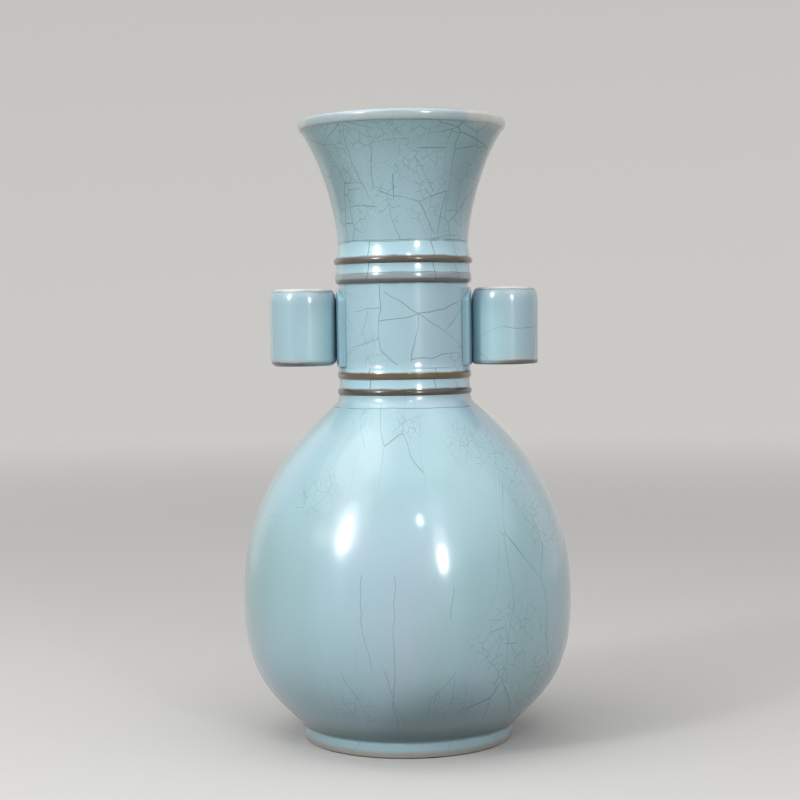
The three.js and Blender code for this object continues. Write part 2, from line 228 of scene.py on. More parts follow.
class GlazeColours(bpy.types.PropertyGroup):
    """Colours of the glaze and the clay; some also serve as painted shade and painted light"""

    sky: colour("Sky", "The glaze at its usual thickness", 0.360, 0.545, 0.615)
    # Sea also serves as painted shade under the lip and on the belly's left side and upper shoulder.
    sea: colour("Sea", "Greener glaze, where it lies thick", 0.295, 0.485, 0.500)
    mist: colour("Mist", "Greyer glaze in soft patches", 0.415, 0.515, 0.605)
    pale: colour("Pale", "Glaze over a rounded edge", 0.50, 0.525, 0.535)
    # Deep also serves as painted shade: on the belly's underside and lower front, under a string, at the mouth's
    # sides, and in the crevices beside the ears and saddles.
    deep: colour("Deep", "Glaze pooled in a hollow", 0.095, 0.185, 0.200)
    # Rim also serves as a painted highlight on the ears' rims and the saddles' tops, and as painted light on the lip's
    # right.
    rim: colour("Rim", "Glaze drawn almost white over a narrow rim", 0.72, 0.70, 0.66)
    thin: colour("Thin", "Glaze that thins over a string", 0.250, 0.275, 0.280)
    cream: colour("Cream", "Glaze so thin that the clay's warmth shows", 0.44, 0.385, 0.33)
    # Thick also makes the saddles darker all over, partly as painted shade in the corner beside the ears.
    thick: colour("Thick", "Bluer glaze gathered beside the ears", 0.235, 0.430, 0.520)
    # Light is painted light: it brightens the ears' inner sides, where the neck shades them.
    light: colour("Light", "Lighter glaze on the ears' inner sides", 0.460, 0.700, 0.740)
    iron: colour("Iron", "Clay that shows brown through thin glaze", 0.115, 0.082, 0.055)
    crack: colour("Crack", "Stain in the cracks", 0.045, 0.095, 0.112)


class CrackleSizes(bpy.types.PropertyGroup):
    """Sizes of the net of cracks"""

    cell: length("Cell", "Usual width of a patch between cracks", 13)
    fine: length("Fine", "Width of the patches in a fine net", 3.4)
    fine_stretch: share("Fine stretch", "How much longer than wide those patches are", 2.0)
    line: length("Line", "Width of a crack's stain", 0.35)
    long_share: share("Long patches", "Width of the patches between the long cracks, in cells", 2.0)
    bow: share("Bow", "How far cracks bow, in cells", 0.5)
    bow_width: share("Bow width", "Width of a bow, in cells", 1.7)
    waver: share("Waver", "How far cracks waver on their way, in cells", 0.03)
    waver_width: share("Waver width", "Width of a waver, in cells", 0.35)
    single_bow: length("Single bow", "How far a single crack bows", 3)
    single_bow_width: length("Single bow width", "Width of its bows", 11)
    ring_wander: length("Ring wander", "How far a crack round a piece strays from its level", 1.2)
    ring_wander_width: length("Ring wander width", "How soon it strays", 14)
    ring_gap: length("Ring gap", "Width of the gaps in such a crack", 19)


class StudioSettings(bpy.types.PropertyGroup):
    """Camera, floor and air"""

    lens: length("Lens", "Focal length for a 36 mm wide picture", 77.35)
    distance: length("Distance", "From the camera to the vase's axis", 726)
    eye_height: length("Eye height", "Height of the camera above the floor", 171.7)
    pitch: angle("Pitch", "How far the camera looks down", 2.31)
    roll: angle("Roll", "How far the camera leans", 0.75)
    yaw: angle("Yaw", "How far the camera looks left of the vase's axis", 0.165)
    lamp_distance: length("Lamp distance", "From the middle of the vase to the lamps", 1200)
    floor_seen: colour("Floor seen", "Colour of floor and backdrop", 0.60, 0.59, 0.575)
    floor_felt: colour("Floor felt", "Light that floor and backdrop give back to the vase", 0.17, 0.165, 0.16)
    backdrop_glow: colour("Backdrop glow", "Light of backdrop and far floor, for the camera", 0.36, 0.354, 0.343)
    air: share("Air", "Strength of the light from all round", 0.52)


class VaseSettings(bpy.types.PropertyGroup):
    """All settings of the vase and its studio"""

    foot: group("Foot", FootSizes)
    belly: group("Belly", BellySizes)
    neck: group("Neck", NeckSizes)
    mouth: group("Mouth", MouthSizes)
    ears: group("Ears", EarSizes)
    surface: group("Surface", SurfaceSizes)
    colours: group("Colours", GlazeColours)
    crackle: group("Crackle", CrackleSizes)
    studio: group("Studio", StudioSettings)


def settings():
    return bpy.context.scene.vase


# Shader maths

class Value:
    """A shader value; an expression on it adds its Math nodes."""

    def __init__(self, finish, socket):
        self.finish = finish
        self.socket = socket

    def maths(self, operation, *others):
        return self.finish.node("ShaderNodeMath", {"operation": operation}, [self, *others])

    def output(self, name):
        """Another output of the node that this value comes from."""
        return Value(self.finish, self.socket.node.outputs[name])

    def __add__(self, other):
        return self.maths("ADD", other)

    __radd__ = __add__

    def __sub__(self, other):
        return self.maths("SUBTRACT", other)

    def __rsub__(self, other):
        return self.finish.node("ShaderNodeMath", {"operation": "SUBTRACT"}, [other, self])

    def __mul__(self, other):
        return self.maths("MULTIPLY", other)

    def __truediv__(self, other):
        return self.maths("DIVIDE", other)


class Finish:
    """A material under construction."""

    def __init__(self, name):
        self.material = bpy.data.materials.new(name)
        self.material.use_nodes = True
        self.tree = self.material.node_tree
        self.tree.nodes.clear()

    def node(self, kind, choices=None, inputs=(), output=0):
        """Adds a node, sets its choices, then its inputs, given in order or by name, and returns an output."""
        node = self.tree.nodes.new(kind)
        for choice, value in (choices or {}).items():
            setattr(node, choice, value)
        named = inputs.items() if isinstance(inputs, dict) else enumerate(inputs)
        for name, value in named:
            if isinstance(value, Value):
                self.tree.links.new(value.socket, node.inputs[name])
            else:
                node.inputs[name].default_value = value
        return Value(self, node.outputs[output])

    def mix(self, factor, first, second):
        """Mixes two colours."""
        colours = [value if isinstance(value, Value) else (*value, 1) for value in (first, second)]
        choices = {"data_type": "RGBA"}
        return self.node("ShaderNodeMix", choices, {0: factor, 6: colours[0], 7: colours[1]}, 2)

    def vector(self, operation, first, second):
        return self.node("ShaderNodeVectorMath", {"operation": operation}, [first, second])

    def scaled(self, vector, scale):
        return self.node("ShaderNodeVectorMath", {"operation": "SCALE"}, {"Vector": vector, "Scale": scale})

    def joined(self, x, y, z=0.0):
        return self.node("ShaderNodeCombineXYZ", None, [x, y, z])

    def smooth(self, value, low, high):
        """0 below low, 1 above high, and a soft step between."""
        inputs = {"Value": value, "From Min": low, "From Max": high}
        return self.node("ShaderNodeMapRange", {"interpolation_type": "SMOOTHSTEP"}, inputs)

    def risen(self, value, low, high, least):
        """The least share below low, 1 above high, and a soft step between."""
        return least + self.smooth(value, low, high) * (1 - least)

    def length(self, vector):
        return self.node("ShaderNodeVectorMath", {"operation": "LENGTH"}, [vector], "Value")

    def noise(self, place, size, detail=2.0):
        """Soft noise from 0 to 1 whose features are about as wide as size."""
        return self.node("ShaderNodeTexNoise", None, {"Vector": place, "Scale": 1 / size, "Detail": detail})

    def bent(self, place, size, reach):
        """A place moved about by noise of a size, by up to half the reach each way."""
        drift = self.vector("SUBTRACT", self.noise(place, size, 1.0).output("Color"), (0.5, 0.5, 0.5))
        return self.vector("ADD", place, self.scaled(drift, reach))

    def patches(self, place, feature, jitter):
        """Flat Voronoi patches one unit wide; the less jitter, the squarer they are."""
        choices = {"voronoi_dimensions": "2D", "feature": feature}
        return self.node("ShaderNodeTexVoronoi", choices, {"Vector": place, "Scale": 1.0, "Randomness": jitter})

    def surface(self, shader):
        """Makes a shader the material's surface, and returns the material."""
        end = self.tree.nodes.new("ShaderNodeOutputMaterial")
        self.tree.links.new(shader.socket, end.inputs["Surface"])
        return self.material


LINE_CORE, LINE_EDGE = 0.2, 0.62  # where a crack's stain starts to fade and ends, as shares of its width
CRACK_END = 0.4 * MM  # over which a single crack fades in and out
FINE_LEANS = (-0.75, 0.6)  # radians by which the two fine nets lean
FLOW = (1, 1, 0.3)  # the glaze's mottling is drawn out downwards
CLOUD_SHIFT = (0.31, 0.17, 0.05)
PATCH_EDGE, PATCH_STRENGTH = (0.42, 0.72), 0.6  # the noise at which a tint's patches start and are full


def band(finish, level, centre, half_width, softness):
    """1 within half a width of a level, fading out over the softness."""
    away = (level - centre).maths("ABSOLUTE")
    return 1 - finish.smooth(away, half_width, half_width + softness)


def stained(finish, away, width):
    """1 on a crack's line, fading out at the edge of its stain."""
    return 1 - finish.smooth(away, width * LINE_CORE, width * LINE_EDGE)


def crack_lines(finish, place, size, width, jitter):
    """Lines between the patches of a size on a flat place."""
    edge = finish.patches(finish.scaled(place, 1 / size), "DISTANCE_TO_EDGE", jitter) * size
    return stained(finish, edge, width)


def patch_chance(finish, place, size, jitter):
    """A random place and a random share for each patch."""
    patch = finish.patches(finish.scaled(place, 1 / size), "F1", jitter).output("Color")
    return patch, finish.node("ShaderNodeSeparateColor", None, [patch])


def around_at(azimuth, girth):
    """How far round a girth an azimuth in degrees lies."""
    return (math.radians(azimuth) / math.tau + 0.5) * girth


def spot(finish, plan, around, run, place):
    """1 in the middle of a soft spot, given by azimuth, height and reach, fading to 0 at its reach."""
    azimuth, height, reach = place
    middle = around_at(azimuth, plan.girth())
    away = finish.joined((around - middle) / (reach * MM), (run - plan.run_at(height)) / (reach * MM))
    return 1 - finish.smooth(finish.length(away), 0.4, 1.0)


def single_crack(finish, plan, around, run, crack):
    """One crack, from one place to another."""
    girth = plan.girth()
    start, end = (
        Vector((around_at(azimuth, girth), plan.run_at(height))) for azimuth, height in (crack[:2], crack[2:])
    )
    reach = (end - start).length
    way = (end - start) / reach
    right, up = around - start.x, run - start.y
    along = right * way.x + up * way.y
    away = (right * way.y - up * way.x).maths("ABSOLUTE")
    begun = finish.smooth(along, -CRACK_END, CRACK_END)
    ended = finish.smooth(along, reach - CRACK_END, reach + CRACK_END)
    return stained(finish, away, settings().crackle.line) * begun * (1 - ended)


def crackle(finish, plan, around, run):
    """The net of cracks: long bowed ones, shorter ones that stop at them, and fine nets in some patches."""
    sizes = settings().crackle
    cell = sizes.cell * plan.cell
    flat = finish.joined(around + plan.shift[0], run + plan.shift[1])
    flat = finish.bent(flat, cell * sizes.bow_width, cell * sizes.bow)
    flat = finish.bent(flat, cell * sizes.waver_width, cell * sizes.waver)
    tall = finish.vector("MULTIPLY", flat, (1, 1 / plan.stretch, 1))
    lines = crack_lines(finish, tall, cell * sizes.long_share, sizes.line, plan.jitter)
    patch, chance = patch_chance(finish, tall, cell * sizes.long_share, plan.jitter)
    short_place = finish.vector("ADD", tall, patch)
    short_lines = crack_lines(finish, short_place, cell, sizes.line * 0.85, plan.jitter)
    small_patch, small_chance = patch_chance(finish, short_place, cell, plan.jitter)
    fine_place = finish.vector("ADD", flat, small_patch)

    weight = finish.noise(flat, cell * 1.1, 0.0)
    lines = lines * finish.risen(weight, 0.3, 0.6, 0.55) * plan.long
    short_lines = short_lines * finish.smooth(chance, 1 - plan.short, 1.05 - plan.short)
    short_lines = short_lines * (finish.risen(weight, 0.35, 0.65, 0.5) * 0.9)
    gathered = finish.smooth(small_chance, 1 - plan.fine, 1.05 - plan.fine)
    for net in plan.nets:
        gathered = gathered.maths("MAXIMUM", spot(finish, plan, around, run, net))
    cracks = lines.maths("MAXIMUM", short_lines)
    for calm in plan.calms:
        cracks = cracks * (1 - spot(finish, plan, around, run, calm) * 0.9)
    for lean in FINE_LEANS:
        inputs = {"Vector": fine_place, "Rotation": (0, 0, lean), "Scale": (1, sizes.fine_stretch, 1)}
        leaning = finish.node("ShaderNodeMapping", {"vector_type": "TEXTURE"}, inputs)
        fine_lines = crack_lines(finish, leaning, sizes.fine, sizes.line * 0.6, plan.jitter)
        boldness = finish.risen(finish.noise(leaning, sizes.fine * 1.3, 0.0), 0.4, 0.62, 0.15)
        cracks = cracks.maths("MAXIMUM", fine_lines * gathered * boldness * plan.fine_strength)
    bowed = finish.bent(finish.joined(around, run), sizes.single_bow_width, sizes.single_bow)
    bowed = finish.node("ShaderNodeSeparateXYZ", None, [bowed])
    boldness = finish.risen(weight, 0.3, 0.6, 0.5) * plan.single_strength
    for crack in plan.singles:
        single = single_crack(finish, plan, bowed, bowed.output("Y"), crack)
        cracks = cracks.maths("MAXIMUM", single * boldness)
    return cracks


def ring_crack(finish, centred, level, ring_level, strength):
    """A crack that follows a level round the piece, with gaps."""
    sizes = settings().crackle
    strayed = level + (finish.noise(centred, sizes.ring_wander_width) - 0.5) * sizes.ring_wander
    ring = band(finish, strayed, ring_level, sizes.line * 0.2, sizes.line * 0.4)
    return ring * finish.smooth(finish.noise(centred, sizes.ring_gap), 0.36, 0.48) * strength


@dataclass
class Glaze:
    """What a glazed piece's finish is made from. Azimuths are in degrees, levels and radii in metres, heights,
    widths, softnesses and reaches in millimetres, and the rest are shares."""

    name: str
    outline: Sequence = ()  # the strokes along which heights are found
    centre: tuple = (0.0, 0.0)
    radius: float = NECK_RADIUS
    # brightness of the piece's glaze, partly painted light and shade: lighter for pieces that catch more light, darker
    # for those that face down or sit in a corner
    tone: float = 1.0
    cell: float = 1.0  # size of the crackle's patches, against the usual size
    stretch: float = 1.0  # how much taller than wide they are
    jitter: float = 1.0  # how irregular they are
    shift: tuple = (0.0, 0.0)
    cracks: float = 1.0  # strength of all cracks
    long: float = 1.0  # strength of the long ones
    short: float = 0.3  # share of the long ones' patches that have shorter ones
    fine: float = 0.0  # share of the small patches that have a fine net
    fine_strength: float = 0.55
    single_strength: float = 1.0
    nets: Sequence = ()
    calms: Sequence = ()
    singles: Sequence = ()
    rings: Sequence = ()  # level, strength
    bare: Sequence = ()  # level, half width, softness of a band without cracks
    bands: Sequence = ()  # tint, level, half width, softness, amount
    # pooled glaze together with painted shade, darker where a piece meets the one beside it
    pools_and_painted_shade: Sequence = ()  # the same, with the distance from the vase's axis for the level
    # spots paint shade and light: darker or lighter patches where a piece gets less or more light
    spots: Sequence = ()  # tint, azimuth, height, reach, amount

    def girth(self):
        return math.tau * self.radius

    def run_at(self, height):
        """How far along the outline its point at a height in millimetres lies."""
        return min(run_of(self.outline), key=lambda mark: abs(mark[0].y - height * MM))[1]


def glaze(plan):
    """The sky-blue crackle glaze: mottled, brown or pale where it thins over edges, glossy, with stained cracks, and
    with the painted shade and light that a plan's bands, pools and spots ask for.
    """
    colours, surface = settings().colours, settings().surface
    finish = Finish(plan.name)
    place = finish.node("ShaderNodeTexCoord", None, (), "Object")
    centred = finish.vector("SUBTRACT", place, (*plan.centre, 0))
    axes = finish.node("ShaderNodeSeparateXYZ", None, [centred])
    x, y, level = axes, axes.output("Y"), axes.output("Z")
    run = finish.node("ShaderNodeAttribute", {"attribute_name": "run"}, (), "Fac")
    turn = x.maths("ARCTAN2", y * -1.0)
    around = (turn / math.tau + 0.5) * plan.girth()
    cracks = crackle(finish, plan, around, run)
    for ring in plan.rings:
        cracks = cracks.maths("MAXIMUM", ring_crack(finish, centred, level, *ring))
    for centre, half_width, softness in plan.bare:
        cracks = cracks * (1 - band(finish, level, centre, half_width * MM, softness * MM) * 0.85)
    cracks = cracks * plan.cracks

    flowing = finish.vector("MULTIPLY", centred, FLOW)
    mottle = finish.noise(flowing, surface.mottle, 3.0)
    cloud = finish.noise(finish.vector("ADD", flowing, CLOUD_SHIFT), surface.cloud, 3.0)
    shade = finish.mix(finish.smooth(mottle, *PATCH_EDGE) * PATCH_STRENGTH, colours.sky, colours.sea)
    shade = finish.mix(finish.smooth(cloud, *PATCH_EDGE) * PATCH_STRENGTH, shade, colours.mist)
    # painted light and shade: each piece's colour is made lighter or darker by its tone
    shade = finish.scaled(shade, plan.tone)
    ragged = (finish.noise(centred, surface.ragged_width, 3.0) - 0.5) * (2 * surface.ragged)
    out = finish.length(finish.vector("MULTIPLY", place, (1, 1, 0)))
    # Bands by level and pools by distance from the axis: besides the glaze's own thinning and pooling, some are
    # painted shade and painted highlight.
    for distance, tints in ((level + ragged, plan.bands), (out, plan.pools_and_painted_shade)):
        for tint, centre, half_width, softness, amount in tints:
            tinted = band(finish, distance, centre, half_width * MM, softness * MM) * amount
            shade = finish.mix(tinted, shade, tint)
    # Spots: painted shade and painted light, with greener glaze in some.
    for tint, azimuth, height, reach, amount in plan.spots:
        shade = finish.mix(spot(finish, plan, around, run, (azimuth, height, reach)) * amount, shade, tint)
    shade = finish.mix(cracks * 0.8, shade, colours.crack)

    ripple = finish.noise(centred, surface.peel, 2.0) - cracks * 0.5
    inputs = {"Strength": 1.0, "Distance": surface.ripple, "Height": ripple}
    bump = finish.node("ShaderNodeBump", None, inputs, "Normal")
    inputs = {
        "Base Color": shade,
        "Roughness": 0.3 + cracks * 0.2,
        "IOR": 1.5,
        "Specular IOR Level": 0.3,
        "Coat Weight": 1.0,
        "Coat Roughness": 0.11,
        "Normal": bump,
    }
    return finish.surface(finish.node("ShaderNodeBsdfPrincipled", None, inputs))


# Modelling

def deselect():
    bpy.ops.object.select_all(action="DESELECT")


def stroke(start, end, steps, leave=None, arrive=None):
    """One stroke of an outline, of (radius, height) points: straight, or a curve with a handle at each end."""
    leave = leave or tuple(a + (b - a) / 3 for a, b in zip(start, end))
    arrive = arrive or tuple(b + (a - b) / 3 for a, b in zip(start, end))
    return start, leave, arrive, end, steps


def corner(start, turn, end, steps):
    """A round stroke from start to end that follows the corner at turn."""
    leave = tuple(a + (b - a) * ROUND_HANDLE for a, b in zip(start, turn))
    arrive = tuple(b + (a - b) * ROUND_HANDLE for a, b in zip(turn, end))
    return start, leave, arrive, end, steps


def path(start, *legs):
    """The strokes that lead on from a point. A leg ends with its end and its steps; before them a corner has its
    turn, and a curve its two handles."""
    strokes = []
    for *between, end, steps in legs:
        if len(between) == 1:
            strokes.append(corner(start, *between, end, steps))
        else:
            strokes.append(stroke(start, end, steps, *between))
        start = end
    return strokes


def handle(point, slope, reach, sideways=1):
    """The handle that leaves a point at a slope above the horizontal, towards the axis where sideways is -1."""
    return point[0] + sideways * reach * math.cos(slope), point[1] + reach * math.sin(slope)


def run_of(strokes):
    """The points of an outline, each with how far along the outline it lies."""
    points = []
    for start, leave, arrive, end, steps in strokes:
        flat = [Vector((*point, 0)) for point in (start, leave, arrive, end)]
        drawn = interpolate_bezier(*flat, steps + 1) if steps > 1 else [flat[0], flat[3]]
        points += drawn if not points else drawn[1:]
    lengths = [0.0]
    for before, after in zip(points, points[1:]):
        lengths.append(lengths[-1] + (after - before).length)
    return list(zip(points, lengths))


def mark_run(piece, strokes):
    """Stores how far along the outline each point of the drawn outline lies."""
    marks = run_of(strokes)
    run = piece.data.attributes.new("run", "FLOAT", "POINT")
    for vertex in piece.data.vertices:
        place = Vector((vertex.co.x, vertex.co.z, 0))
        run.data[vertex.index].value = min(marks, key=lambda mark: (mark[0] - place).length_squared)[1]


def turned(name, strokes, steps=224, centre=(0.0, 0.0)):
    """Draws an outline's strokes as curves in the XZ plane, spins them round the axis and closes the skin."""
    deselect()
    bpy.ops.curve.primitive_bezier_curve_add(location=(0, 0, 0))
    piece = bpy.context.object
    piece.name = name
    piece.data.splines.clear()
    for start, leave, arrive, end, spans in strokes:
        spline = piece.data.splines.new("BEZIER")
        spline.bezier_points.add(1)
        spline.resolution_u = spans
        for knot, place, before, after in zip(
            spline.bezier_points, (start, end), (start, arrive), (leave, end)
        ):
            knot.handle_left_type = knot.handle_right_type = "FREE"
            knot.co = (place[0], 0, place[1])
            knot.handle_left = (before[0], 0, before[1])
            knot.handle_right = (after[0], 0, after[1])
    bpy.ops.object.convert(target="MESH")
    bpy.ops.object.mode_set(mode="EDIT")
    bpy.ops.mesh.select_all(action="SELECT")
    bpy.ops.mesh.remove_doubles(threshold=WELD)
    bpy.ops.object.mode_set(mode="OBJECT")
    mark_run(piece, strokes)
    bpy.ops.object.mode_set(mode="EDIT")
    bpy.ops.mesh.select_all(action="SELECT")
    bpy.ops.mesh.spin(steps=steps, angle=math.tau, center=(0, 0, 0), axis=(0, 0, 1))
    bpy.ops.mesh.select_all(action="SELECT")
    bpy.ops.mesh.remove_doubles(threshold=WELD)
    bpy.ops.mesh.normals_make_consistent(inside=False)
    bpy.ops.transform.translate(value=(*centre, 0))
    bpy.ops.object.mode_set(mode="OBJECT")
    bpy.ops.object.shade_smooth_by_angle(angle=math.radians(40))
    return piece


def modify(piece, name, kind, **choices):
    """Adds a modifier to the active piece and applies it."""
    modifier = piece.modifiers.new(name, kind)
    for choice, value in choices.items():
        setattr(modifier, choice, value)
    bpy.ops.object.modifier_apply(modifier=modifier.name)


def undulate(piece):
    """Gives a piece the slight waves of thrown clay; they run on from one piece into the next."""
    surface = settings().surface
    waves = bpy.data.textures.new(piece.name + "_waves", "CLOUDS")
    waves.noise_scale = surface.wave
    waves.noise_depth = 1
    modify(piece, "waves", "DISPLACE", texture=waves, texture_coords="LOCAL", strength=surface.depth, mid_level=0.5)


def finish_piece(piece, material, slot, *nodes):
    """Gives a piece its material and body, and lets it stand for the built nodes."""
    piece.data.materials.clear()
    piece.data.materials.append(material)
    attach(piece, "root")
    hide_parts(*nodes)


def inward(outer, walls):
    """Handles and ends of strokes moved inwards along their normals by a wall that changes evenly."""
    moved = []
    count = len(outer)
    for i, (start, leave, arrive, end, steps) in enumerate(outer):
        normals = []
        for a, b in ((start, leave), (arrive, end)):
            along = Vector((b[0] - a[0], b[1] - a[1])).normalized()
            normals.append(Vector((-along.y, along.x)))
        places = zip((start, leave, arrive, end), (0, 1 / 3, 2 / 3, 1), (0, 0, 1, 1))
        shifted = []
        for place, part, side in places:
            wall = walls[0] + (walls[1] - walls[0]) * (i + part) / count
            shifted.append(tuple(Vector(place) + normals[side] * wall))
        moved.append((*shifted, steps))
    return moved


def back(strokes):
    """The same strokes drawn the other way."""
    return [(end, arrive, leave, start, steps) for start, leave, arrive, end, steps in reversed(strokes)]


def joint_radii():
    """The radius of the grooves that the strings lie in, and of the neck's bore."""
    neck = settings().neck
    return NECK_RADIUS - neck.groove, NECK_RADIUS - neck.wall


class VASE_OT_foot(bpy.types.Operator):
    """Turns the foot ring, wiped clean of glaze where it stands"""

    bl_idname = "vase.foot"
    bl_label = "Foot ring"

    def execute(self, context):
        foot = settings().foot
        top, bottom, turn = FOOT_RADIUS, FOOT_RADIUS - foot.flare, foot.rounding
        bore = bottom - foot.wall
        strokes = path(
            (bore + turn, 0),
            ((bottom - turn, 0), 4),
            ((bottom, 0), (bottom, turn), 6),
            ((top, FOOT_TOP), 8),
            ((bore, FOOT_TOP), 2),
            ((bore, turn), 6),
            ((bore, 0), (bore + turn, 0), 6),
        )
        piece = turned("foot_ring_glazed", strokes)
        colours = settings().colours
        # Painted light and shade: the foot ring is made lighter as a whole, and the deep band at its top is glaze
        # pooled under the belly's crease together with painted shade under the belly's overhang.
        plan = Glaze("foot_glaze", radius=FOOT_RADIUS, tone=1.3, cell=1.2, cracks=0.4)
        plan.bands = (
            (colours.deep, FOOT_TOP, 0.3, 1.2, 0.7),
            (colours.cream, 0.6 * MM, 0.8, 2.6, 0.9),
            (colours.iron, 0, 0.15, 0.4, 1.0),
        )
        finish_piece(piece, glaze(plan), "foot_glaze", "foot_ring")
        return {"FINISHED"}


def belly_outline():
    """The belly's outer strokes, from the crease over the foot to the lowest string."""
    sizes = settings().belly
    base = (FOOT_RADIUS + sizes.crease - sizes.crease_turn, FOOT_TOP)
    crease = (FOOT_RADIUS + sizes.crease, FOOT_TOP + sizes.crease_turn)
    widest = (BELLY_RADIUS, BELLY_LINE)
    collar = (NECK_RADIUS + sizes.collar_stand, NECK_BASE - sizes.collar_height)
    shoulder = (NECK_RADIUS + sizes.turn_width, collar[1] - sizes.turn_height)
    lower, upper, turn = BELLY_LINE - crease[1], shoulder[1] - BELLY_LINE, sizes.turn_height / 2
    bulge = (BELLY_RADIUS, BELLY_LINE - sizes.lower_fullness * lower)
    dome = (BELLY_RADIUS, BELLY_LINE + sizes.upper_fullness * upper)
    return path(
        base,
        ((crease[0], FOOT_TOP), crease, 6),
        (handle(crease, sizes.lower_slope, sizes.lower_start * lower), bulge, widest, 44),
        (dome, handle(shoulder, -sizes.shoulder_slope, sizes.shoulder_start * upper), shoulder, 60),
        (handle(shoulder, sizes.shoulder_slope, turn, -1), (collar[0], collar[1] - turn), collar, 14),
        ((collar[0], STRING_LOW["string_lower"]), 1),
    )


class VASE_OT_belly(bpy.types.Operator):
    """Turns the belly in one, from the floor to the collar"""

    bl_idname = "vase.belly"
    bl_label = "Belly"

    def execute(self, context):
        belly, foot, neck = settings().belly, settings().foot, settings().neck
        groove, bore = joint_radii()
        outer = belly_outline()
        collar = outer[-1][3]
        turn, upper, lower = back(inward(outer[1:-1], (belly.wall, neck.wall)))
        start, leave, _, _, steps = lower
        floor = FOOT_TOP + belly.floor
        flat = FOOT_RADIUS - foot.flare - foot.wall - foot.hollow_margin
        middle = (0, FOOT_TOP + foot.hollow)
        strokes = [
            *path(middle, ((flat / 3, middle[1]), (flat * 2 / 3, FOOT_TOP), (flat, FOOT_TOP), 24), (outer[0][0], 4)),
            *outer,
            *path(collar, ((groove, collar[1]), 2), ((groove, NECK_BASE), 2), ((bore, NECK_BASE), 2), (turn[0], 2)),
            turn,
            upper,
            (start, leave, (flat * (1 + belly.bowl_turn), floor), (flat, floor), steps),
            stroke((flat, floor), (0, floor), 20),
        ]
        piece = turned("belly_glazed", strokes)
        undulate(piece)
        colours = settings().colours
        plan = Glaze(
            "belly_glaze", strokes[: 2 + len(outer)], radius=belly.pattern_radius, tone=1.08, cell=1.5, stretch=3.0,
            cracks=0.75, long=0.25, fine_strength=0.6, single_strength=0.6,
            nets=BELLY_NETS, calms=BELLY_CALMS, singles=BELLY_CRACKS,
        )
        plan.rings = ((NECK_BASE - belly.collar_crack, 1.0),)
        # Darker towards the foot: glaze pooled in the crease over the foot, and painted shade on the belly's
        # down-facing underside.
        plan.bands = ((colours.deep, FOOT_TOP, 0.8, 8.0, 0.85),)
        # Painted shade: the lower front is darker, and greener, darker patches lie on the left side and upper left
        # shoulder where the left lamps fall.
        plan.spots = (
            (colours.deep, 12, 12, 34, 0.35),
            (colours.sea, -80, 70, 44, 0.7),
            (colours.sea, -20, 122, 44, 0.35),
        )
        finish_piece(piece, glaze(plan), "crackle_glaze", "belly_lower", "belly_upper")
        return {"FINISHED"}


class VASE_OT_neck(bpy.types.Operator):
    """Turns the straight neck between the two pairs of strings"""

    bl_idname = "vase.neck"
    bl_label = "Neck"

    def execute(self, context):
        groove, bore = joint_radii()
        neck = settings().neck
        low, high = STRING_HIGH["string_lower_middle"], STRING_LOW["string_upper_middle"]
        base, straight = (NECK_RADIUS + neck.swell, low), (NECK_RADIUS, low + neck.swell_height)
        rise = neck.swell_height / 3
        strokes = path(
            (groove, NECK_BASE),
            ((groove, low), 4),
            (base, 1),
            ((NECK_RADIUS + neck.swell * 0.23, low + rise), (NECK_RADIUS, straight[1] - rise), straight, 8),
            ((NECK_RADIUS, high), 24),
            ((groove, high), 1),
            ((groove, NECK_TOP), 4),
            ((bore, NECK_TOP), 2),
            ((bore, NECK_BASE), 24),
            ((groove, NECK_BASE), 2),
        )
        piece = turned("neck_glazed", strokes)
        undulate(piece)
        plan = Glaze(
            "neck_glaze", strokes[:4], tone=1.08, cell=1.05, short=0.75, single_strength=0.85,
            nets=NECK_NETS, calms=NECK_CALMS, singles=NECK_CRACKS,
        )
        # Painted shade: a dark line on the neck under the upper middle string.
        plan.bands = ((settings().colours.deep, high, 0.1, 0.7, 0.8),)
        finish_piece(piece, glaze(plan), "crackle_glaze", "neck")
        return {"FINISHED"}


